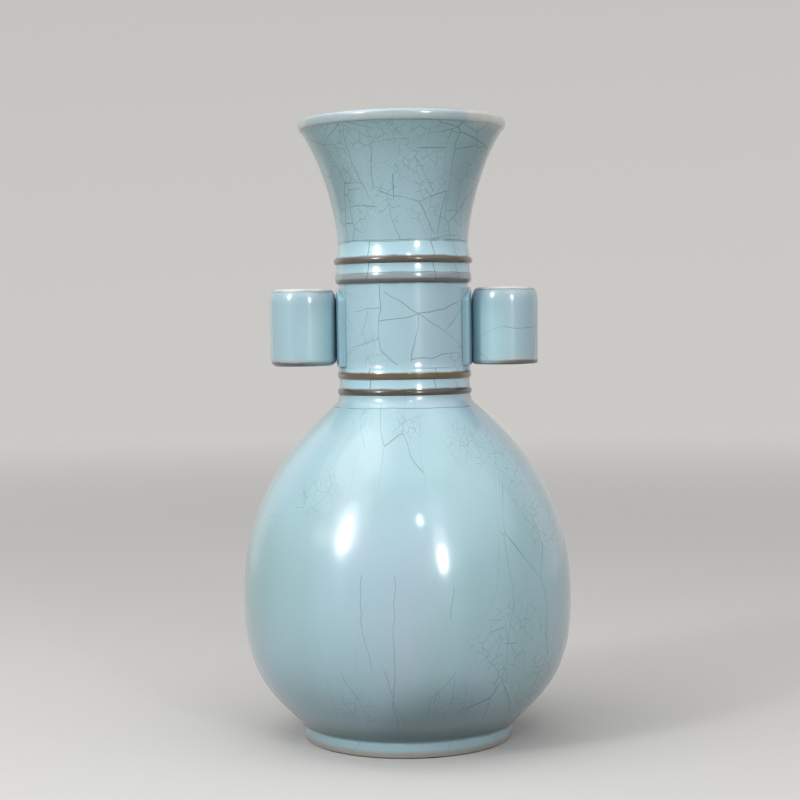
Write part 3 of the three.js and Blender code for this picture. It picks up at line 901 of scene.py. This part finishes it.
class VASE_OT_mouth(bpy.types.Operator):
    """Turns the trumpet mouth with its rolled lip"""

    bl_idname = "vase.mouth"
    bl_label = "Mouth"

    def execute(self, context):
        mouth, neck = settings().mouth, settings().neck
        groove, bore = joint_radii()
        base = (NECK_RADIUS, STRING_HIGH["string_upper"])
        under = (LIP_RADIUS - mouth.lip_overhang, RIM - mouth.lip_height)
        rise = under[1] - base[1]
        leave = handle(base, mouth.base_slope, mouth.flare_start * rise)
        flare = stroke(base, under, 56, leave, handle(under, mouth.flare_slope + math.pi, mouth.flare_end * rise))
        widest = (LIP_RADIUS, RIM - mouth.lip_swell)
        crest = (LIP_RADIUS - mouth.lip_inset, RIM)
        inner = back(inward([flare], (neck.wall, mouth.wall)))[0]
        strokes = [
            *path((groove, NECK_TOP), ((groove, base[1]), 2), (base, 1)),
            flare,
            *path(
                under,
                ((LIP_RADIUS, under[1]), widest, 12),
                ((LIP_RADIUS, RIM), crest, 12),
                ((inner[0][0], RIM), inner[0], 14),
            ),
            inner,
            *path(inner[3], ((bore, NECK_TOP), 2), ((groove, NECK_TOP), 2)),
        ]
        piece = turned("mouth_glazed", strokes)
        undulate(piece)
        colours = settings().colours
        plan = Glaze(
            "mouth_glaze", strokes[:5], radius=mouth.pattern_radius, tone=1.02, cell=0.95, stretch=1.2, jitter=0.75,
            cracks=0.85, short=0.85, fine=0.3,
            nets=MOUTH_NETS, calms=MOUTH_CALMS, singles=MOUTH_CRACKS,
        )
        lip = RIM - mouth.lip_middle
        plan.rings = ((base[1] + 0.3 * MM, 1.0),)
        plan.bare = ((lip, 2.4, 0.8),)
        plan.bands = (
            # Greener glaze, and painted shade, under the overhanging lip.
            (colours.sea, RIM - 9 * MM, 4, 7, 0.6),
            (colours.pale, lip, 2.0, 1.0, 0.6),
            (colours.iron, RIM, 0.1, 0.5, 0.5),
        )
        plan.spots = (
            # Painted shade: the mouth's left and right sides are made darker.
            (colours.deep, -72, 236, 26, 0.4),
            (colours.deep, 68, 236, 26, 0.35),
            # Painted light: the lip's right side is made lighter.
            *((colours.rim, azimuth, 258.6, 7.5, 0.6) for azimuth in (46, 56, 66, 76)),
        )
        finish_piece(piece, glaze(plan), "crackle_glaze", "mouth")
        return {"FINISHED"}


@dataclass
class StringShape:
    """A string's shape above its base and where its glaze runs thin. Sizes are in millimetres."""

    bead: float  # height of the bead
    lift: float  # how far the bead's top stands out from the neck
    edge: float  # how far the tail's end does
    brown: float  # how far up the clay's colour reaches
    pale: float  # how far up the thin glaze reaches
    seam: float  # strength of the crack that follows the tail's end
    clay: Sequence


STRING_SHAPES = {
    "string_lower": StringShape(2.4, 0.35, 0.05, 2.3, 0, 0.8, (0.061, 0.049, 0.034)),
    "string_lower_middle": StringShape(2.3, 0.75, 0.35, 2.3, 0, 0.0, (0.127, 0.087, 0.037)),
    "string_upper_middle": StringShape(4.2, 1.05, 0.6, 1.3, 4.0, 0.0, (0.124, 0.118, 0.122)),
    "string_upper": StringShape(2.8, 1.0, 0.05, 2.5, 0, 0.8, (0.099, 0.075, 0.052)),
}


class VASE_OT_strings(bpy.types.Operator):
    """Turns the four raised strings, brown where the glaze thins over their crests"""

    bl_idname = "vase.strings"
    bl_label = "Strings"

    def execute(self, context):
        seat = NECK_RADIUS - settings().neck.groove - settings().neck.bond
        tops = dict(STRING_HIGH)
        tops["string_lower"] = STRING_LOW["string_lower_middle"]
        tops["string_upper_middle"] = STRING_LOW["string_upper"]
        for name, shape in STRING_SHAPES.items():
            low, high, crest = STRING_LOW[name], tops[name], STRING_CREST[name]
            bead, lift, edge = (size * MM for size in (shape.bead, shape.lift, shape.edge))
            middle, top, end = (crest, low + bead / 2), (NECK_RADIUS + lift, low + bead), (NECK_RADIUS + edge, high)
            tail = (high - top[1]) / 3
            leave, arrive = (top[0] - (top[0] - end[0]) * 2 / 3, top[1] + tail), (end[0], high - tail)
            strokes = path(
                (seat, low),
                ((NECK_RADIUS, low), 1),
                ((crest, low), middle, 10),
                ((crest, top[1]), top, 10),
                (leave, arrive, end, 16),
                ((seat, high), 1),
                ((seat, low), 4),
            )
            piece = turned(name + "_glazed", strokes)
            undulate(piece)
            # Partly painted light: the strings' glaze is made lighter, partly for glaze that lies pale between them
            # and partly for light on their upward faces.
            plan = Glaze(name + "_glaze", tone=1.25, stretch=3.0, short=0.6)
            plan.bands = ((shape.clay, low, shape.brown, 1.0, 1.0),)
            plan.rings = ((high - 0.2 * MM, shape.seam),)
            if shape.pale:
                plan.tone = 1.12
                plan.bands = ((settings().colours.thin, low, shape.pale, 0.5, 0.8), *plan.bands)
                plan.rings = ((low + bead, 0.8),)
            finish_piece(piece, glaze(plan), "thin_glaze", name)
        return {"FINISHED"}


class VASE_OT_ears(bpy.types.Operator):
    """Turns the two upright tubes"""

    bl_idname = "vase.ears"
    bl_label = "Ears"

    def execute(self, context):
        ears, colours = settings().ears, settings().colours
        feet = {"left": ears.left_foot, "right": ears.right_foot}
        low, high, outer, turn = EAR_LOW.z, EAR_HIGH.z, EAR_RADIUS, ears.bore_rounding
        bore = outer - ears.wall
        for side, sign in SIDES.items():
            foot = feet[side]
            top = (outer - ears.top_width, high)
            rise = (outer, high - ears.top_height * (1 - ears.top_rise))
            crown = (outer - ears.top_width * (1 - ears.top_crown), high)
            strokes = path(
                (bore, low + turn),
                ((bore, low), (bore + turn, low), 6),
                ((outer - foot, low), 2),
                ((outer, low), (outer, low + foot), 10),
                ((outer, high - ears.top_height), 24),
                (rise, crown, top, 20),
                ((bore + turn, high), 2),
                ((bore, high), (bore, high - turn), 6),
                ((bore, low + turn), 20),
            )
            centre = (sign * EAR_CENTRE, 0.0)
            piece = turned(f"ear_{side}_glazed", strokes, 128, centre)
            undulate(piece)
            plan = Glaze(
                f"ear_{side}_glaze", strokes[:5], centre=centre, radius=EAR_RADIUS, tone=1.03, cell=1.6,
                shift=(0.07 * sign, 0.02), cracks=0.35 + 0.2 * sign, singles=EAR_CRACKS[side],
            )
            plan.bands = (
                (colours.pale, high - 1 * MM, 1.2, 2.0, 0.4),
                # Thin glaze on the top rim, with a painted highlight along it.
                (colours.rim, high, 0.5, 0.5, 0.9),
                (colours.iron, high - 1.3 * MM, 0.1, 0.4, 0.4),
                (colours.pale, low + 2.8 * MM, 0.5, 1.2, 0.5),
                (colours.iron, low, 1.2, 1.0, 0.9),
            )
            # Darker where the ear meets the saddle: glaze pooled in the crevice, and painted shade there.
            plan.pools_and_painted_shade = ((colours.deep, SADDLE_HIGH.x, 0.2, 0.5, 0.25),)
            # Painted light: the ears' inner sides, shaded by the neck, are made lighter.
            plan.spots = ((colours.light, -62 * sign, 168, 20, 0.6),)
            finish_piece(piece, glaze(plan), "crackle_glaze", f"ear_{side}")
        return {"FINISHED"}


def drum(radius, depth, place, rotation=(0, 0, 0)):
    """Adds a fine cylinder that a saddle is cut from or with."""
    deselect()
    bpy.ops.mesh.primitive_cylinder_add(
        vertices=256, radius=radius, depth=depth, location=place, rotation=rotation
    )
    return bpy.context.object


def cut(piece, operation, tool):
    """Cuts a piece with a tool, which is then thrown away, and leaves the piece active and selected."""
    deselect()
    bpy.context.view_layer.objects.active = piece
    piece.select_set(True)
    modify(piece, operation.lower(), "BOOLEAN", operation=operation, solver="EXACT", object=tool)
    deselect()
    tool.select_set(True)
    bpy.ops.object.delete()
    bpy.context.view_layer.objects.active = piece
    piece.select_set(True)


def slice_off(place, way):
    """Cuts away what lies beyond a plane, and closes the skin there."""
    bpy.ops.mesh.select_all(action="SELECT")
    bpy.ops.mesh.bisect(plane_co=place, plane_no=way, use_fill=True, clear_outer=True)


class VASE_OT_saddles(bpy.types.Operator):
    """Cuts the two plates that carry the ears, crowned in front, arched above and hollowed to the neck behind"""

    bl_idname = "vase.saddles"
    bl_label = "Saddles"

    def execute(self, context):
        ears, neck, colours = settings().ears, settings().neck, settings().colours
        half_width, crest = SADDLE_HIGH.y, NECK_RADIUS + ears.saddle_crest
        face, arch = (
            (half_width * half_width + fall * fall) / (2 * fall) for fall in (ears.saddle_crown, ears.saddle_arch)
        )
        middle, height = (SADDLE_LOW.z + SADDLE_HIGH.z) / 2, SADDLE_HIGH.z - SADDLE_LOW.z
        root = NECK_RADIUS - neck.wall * ears.saddle_root
        for side, sign in SIDES.items():
            piece = drum(face, height, (sign * (crest - face), 0, middle))
            piece.name = f"saddle_{side}_glazed"
            bpy.ops.object.transform_apply(location=True, rotation=True, scale=True)
            bpy.ops.object.mode_set(mode="EDIT")
            slice_off((sign * root, 0, 0), (-sign, 0, 0))
            for edge in (1, -1):
                slice_off((0, edge * half_width, 0), (0, edge, 0))
            bpy.ops.object.mode_set(mode="OBJECT")
            top_cut = drum(arch, 8 * half_width, (0, 0, SADDLE_HIGH.z - arch), (0, math.pi / 2, 0))
            cut(piece, "INTERSECT", top_cut)
            modify(piece, "grain", "REMESH", mode="VOXEL", voxel_size=ears.saddle_grain)
            modify(piece, "softening", "SMOOTH", factor=0.5, iterations=ears.saddle_softening)
            cut(piece, "DIFFERENCE", drum(NECK_RADIUS - neck.bond, 2 * height, (0, 0, middle)))
            bpy.ops.object.shade_smooth_by_angle(angle=math.radians(30))
            # The saddle is darker and bluer all over: partly bluer thick glaze, partly painted shade in the corner
            # beside the ear.
            plan = Glaze(f"saddle_{side}_glaze", tone=0.95, cracks=0.0)
            plan.bands = (
                (colours.thick, middle, height / MM, 1.0, 0.8),
                # Painted highlight along the saddle's top.
                (colours.rim, SADDLE_HIGH.z, 0.6, 1.4, 0.7),
            )
            # Darker where the saddle meets the neck: glaze pooled in the crease, and painted shade there.
            plan.pools_and_painted_shade = ((colours.deep, NECK_RADIUS, 0.15, 0.4, 0.6),)
            finish_piece(piece, glaze(plan), "crackle_glaze", f"saddle_{side}")
        return {"FINISHED"}


@dataclass
class Lamp:
    """A softbox: where it stands round the vase and how wide and high it looks from there, in degrees, its
    radiance, and whether it lights the glaze's body and shows in its gloss."""

    name: str
    azimuth: float
    elevation: float
    width: float
    height: float
    radiance: float
    lights: bool = True
    mirrored: bool = True


# Azimuth 0 is the camera's side, and azimuths grow to the right. Nested lamps make soft edges.
LAMPS = (
    Lamp("key_left", -47.5, 24, 8, 18, 18),
    Lamp("key_left_glint", -47.5, 24, 5.5, 13, 30, lights=False),
    Lamp("key_left_stand", -46, 0, 8, 26, 0.7, lights=False),
    Lamp("key_left_halo", -47.5, 26, 17, 28, 3),
    Lamp("key_left_haze", -47.5, 30, 28, 40, 0.8),
    Lamp("key_left_side", -66, 20, 13, 12, 1.5),
    Lamp("key_right", 25.2, 14, 6, 14, 19),
    Lamp("key_right_glint", 25.2, 14, 4, 11, 40, lights=False),
    Lamp("key_right_stand", 26, -4, 8, 22, 0.6, lights=False),
    Lamp("key_right_halo", 25.2, 18, 10, 26, 3),
    Lamp("key_right_tail", 26, 32, 12, 30, 1.0),
    Lamp("lamp_front", 11, 35, 5.5, 6, 16),
    Lamp("panel_left", -72, 58, 34, 30, 1.25),
    Lamp("panel_left_haze", -70, 54, 56, 48, 0.8),
    Lamp("panel_right", 62, 40, 44, 40, 0.6),
    Lamp("panel_right_haze", 62, 40, 66, 60, 0.4),
    Lamp("panel_top", 0, 86, 60, 60, 0.6),
    Lamp("fill_front", -12, 30, 60, 50, 0.55, mirrored=False),
    Lamp("edge_left", -136, 14, 22, 50, 0.25),
    Lamp("edge_right", 122, 10, 22, 44, 0.2),
)


def set_lamp(plan):
    """Adds a lamp, aimed at the middle of the vase; the camera doesn't see it."""
    deselect()
    around, up, distance = math.radians(plan.azimuth), math.radians(plan.elevation), settings().studio.lamp_distance
    way = Vector((math.sin(around) * math.cos(up), -math.cos(around) * math.cos(up), math.sin(up)))
    bpy.ops.object.light_add(type="AREA", location=Vector((0, 0, RIM / 2)) + way * distance)
    light = bpy.context.object
    light.name = plan.name
    light.rotation_mode = "QUATERNION"
    light.rotation_quaternion = (-way).to_track_quat("-Z", "Y")
    light.visible_camera = False
    light.visible_diffuse = plan.lights
    light.visible_glossy = plan.mirrored
    light.data.shape = "ELLIPSE"
    light.data.size, light.data.size_y = (
        2 * distance * math.tan(math.radians(spread) / 2) for spread in (plan.width, plan.height)
    )
    light.data.energy = plan.radiance * math.pi * light.data.size * light.data.size_y * math.pi / 4


COVE_REACH, COVE_TURN = 2.4, 1.6  # metres of flat floor, and the radius of the turn up from it
COVE_GLOW = (0.3, 2.3)  # metres from the vase between which the cove's own light comes up


def cove_paint():
    """Pale to the camera and in reflections, most of all high up; it gives less light back to the vase."""
    studio = settings().studio
    finish = Finish("cove_paint")
    rays = finish.node("ShaderNodeLightPath", None, (), "Is Camera Ray")
    seen = rays.maths("MAXIMUM", rays.output("Is Glossy Ray"))
    seen = seen.maths("MAXIMUM", rays.output("Is Transmission Ray"))
    place = finish.node("ShaderNodeTexCoord", None, (), "Object")
    rise = finish.smooth(finish.length(place), *COVE_GLOW)
    inputs = {
        "Base Color": finish.mix(seen, studio.floor_felt, studio.floor_seen),
        "Roughness": 1.0,
        "Specular IOR Level": 0.0,
        "Emission Color": finish.mix(seen * rise, (0, 0, 0), studio.backdrop_glow),
        "Emission Strength": 1.0,
    }
    return finish.surface(finish.node("ShaderNodeBsdfPrincipled", None, inputs))


class VASE_OT_stage(bpy.types.Operator):
    """Sets the floor, backdrop, lamps and camera"""

    bl_idname = "vase.stage"
    bl_label = "Stage"

    def execute(self, context):
        studio = settings().studio
        wall = COVE_REACH + COVE_TURN
        strokes = path((0, 0), ((COVE_REACH, 0), 24), ((wall, 0), (wall, COVE_TURN), 24), ((wall, COVE_TURN * 1.5), 2))
        cove = turned("cove", strokes, 96)
        cove.data.materials.append(cove_paint())
        for plan in LAMPS:
            set_lamp(plan)

        air = bpy.data.worlds.new("studio_air")
        air.use_nodes = True
        light = air.node_tree.nodes["Background"].inputs
        light["Color"].default_value, light["Strength"].default_value = (1, 1, 1, 1), studio.air
        context.scene.world = air

        bpy.ops.object.camera_add(location=(0, -studio.distance, studio.eye_height))
        camera = context.object
        camera.name = "camera"
        camera.data.sensor_width = 36
        camera.data.lens = studio.lens / MM
        camera.data.clip_start = 0.05
        turn = Euler((math.pi / 2 - studio.pitch, 0, studio.yaw)).to_matrix()
        lean = Euler((0, 0, -studio.roll)).to_matrix()
        camera.rotation_euler = (turn @ lean).to_euler()
        context.scene.camera = camera
        context.scene.view_settings.view_transform = "Standard"
        return {"FINISHED"}


OPERATORS = (
    VASE_OT_foot, VASE_OT_belly, VASE_OT_neck, VASE_OT_mouth, VASE_OT_strings, VASE_OT_saddles, VASE_OT_ears,
    VASE_OT_stage,
)


class VASE_PT_panel(bpy.types.Panel):
    """Lists the vase's pieces and their settings"""

    bl_label = "Vase"
    bl_space_type = "VIEW_3D"
    bl_region_type = "UI"
    bl_category = "Vase"

    def draw(self, context):
        for operator in OPERATORS:
            self.layout.operator(operator.bl_idname)
        vase = context.scene.vase
        for name in vase.__annotations__:
            box, sizes = self.layout.box(), getattr(vase, name)
            box.label(text=name.capitalize())
            for key in sizes.__annotations__:
                box.prop(sizes, key)


CLASSES = (
    FootSizes, BellySizes, NeckSizes, MouthSizes, EarSizes, SurfaceSizes, GlazeColours, CrackleSizes, StudioSettings,
    VaseSettings, *OPERATORS, VASE_PT_panel,
)


def register():
    for each in CLASSES:
        bpy.utils.register_class(each)
    bpy.types.Scene.vase = group("Vase", VaseSettings)


def unregister():
    del bpy.types.Scene.vase
    for each in reversed(CLASSES):
        bpy.utils.unregister_class(each)


def main():
    register()
    for operator in OPERATORS:
        family, name = operator.bl_idname.split(".")
        getattr(getattr(bpy.ops, family), name)()


if __name__ == "__main__":
    main()
